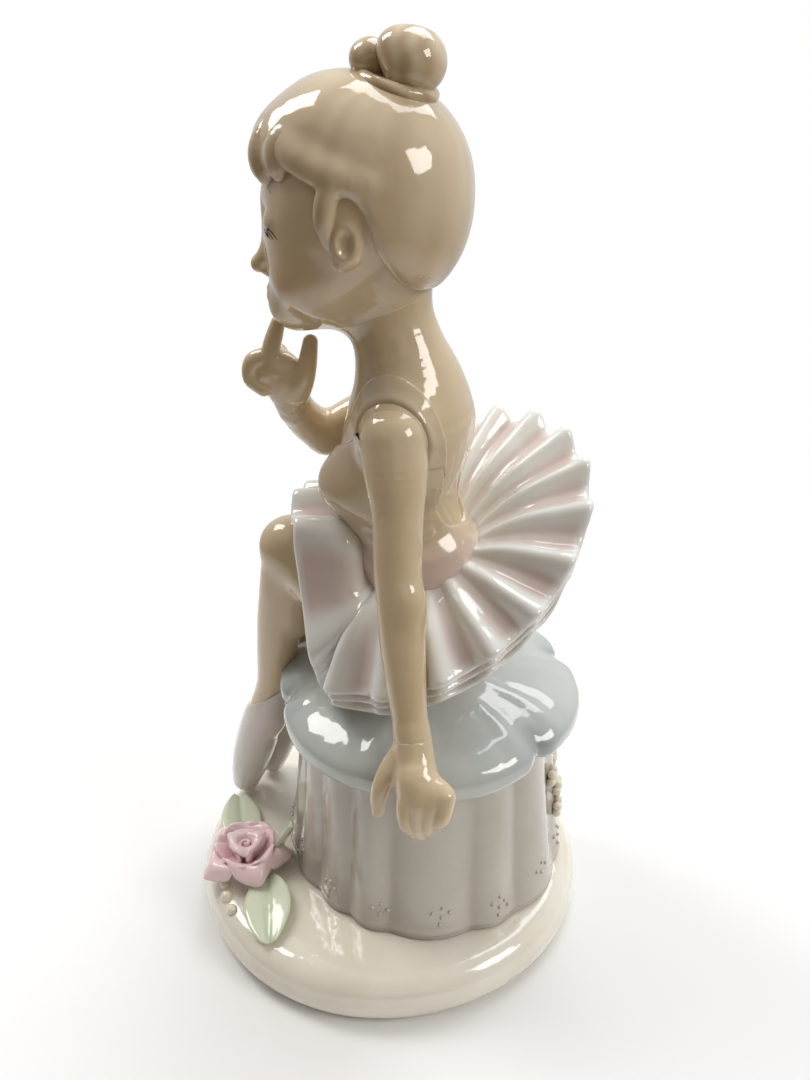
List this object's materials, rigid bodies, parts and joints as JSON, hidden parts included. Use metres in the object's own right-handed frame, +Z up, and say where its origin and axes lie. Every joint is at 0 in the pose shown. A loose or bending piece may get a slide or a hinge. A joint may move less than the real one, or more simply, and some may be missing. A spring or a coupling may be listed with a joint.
{
  "type": "porcelain figurine",
  "caption": "Glazed porcelain figurine of a seated ballerina on a draped stool with a cushion, on a round base with an applied rose.",
  "frame": {"origin": "centre of the plinth's flat underside", "axes": "+Z up; the figure faces -Y and her left side is +X"},
  "size_m": [0.099, 0.099, 0.205],
  "materials": {
    "cream_glaze": "smooth glossy cream glaze over white porcelain",
    "skirt_glaze": "glossy off-white glaze, greyer in the hollows of the flutes",
    "cushion_glaze": "glossy pale blue-grey glaze",
    "tutu_glaze": "glossy white glaze with pale pink in the pleats",
    "bodice_glaze": "glossy pale pink glaze",
    "skin_glaze": "glossy warm beige glaze",
    "hair_glaze": "glossy beige-brown glaze with combed strands",
    "slipper_glaze": "glossy pale pink glaze",
    "rose_bisque": "satin pink hand-formed petals, darker at the heart",
    "leaf_bisque": "satin pale green",
    "white_bisque": "satin off-white slip"
  },
  "bodies": {
    "root": {"bead_buds": "white_bisque", "bodice": "bodice_glaze", "bun_band": "hair_glaze", "forelock": "hair_glaze", "hair": "hair_glaze", "hair_bun": "hair_glaze", "hair_knot": "hair_glaze", "head": "skin_glaze", "hem_dots": "skirt_glaze", "leaf_back": "leaf_bisque", "leaf_front": "leaf_bisque", "leaf_side": "leaf_bisque", "left_arm": "skin_glaze", "left_hand": "skin_glaze", "left_leg": "skin_glaze", "left_slipper": "slipper_glaze", "left_strap": "bodice_glaze", "petticoat_lower": "tutu_glaze", "petticoat_upper": "tutu_glaze", "plinth": "cream_glaze", "right_arm": "skin_glaze", "right_hand": "skin_glaze", "right_leg": "skin_glaze", "right_slipper": "slipper_glaze", "right_strap": "bodice_glaze", "rose_heart": "rose_bisque", "rose_petal_inner_1": "rose_bisque", "rose_petal_inner_2": "rose_bisque", "rose_petal_inner_3": "rose_bisque", "rose_petal_outer_1": "rose_bisque", "rose_petal_outer_2": "rose_bisque", "rose_petal_outer_3": "rose_bisque", "rose_petal_outer_4": "rose_bisque", "rose_petal_outer_5": "rose_bisque", "skirt_blossoms": "white_bisque", "stool_cushion": "cushion_glaze", "stool_skirt": "skirt_glaze", "torso": "skin_glaze", "tutu": "tutu_glaze"}
  },
  "joints": []
}
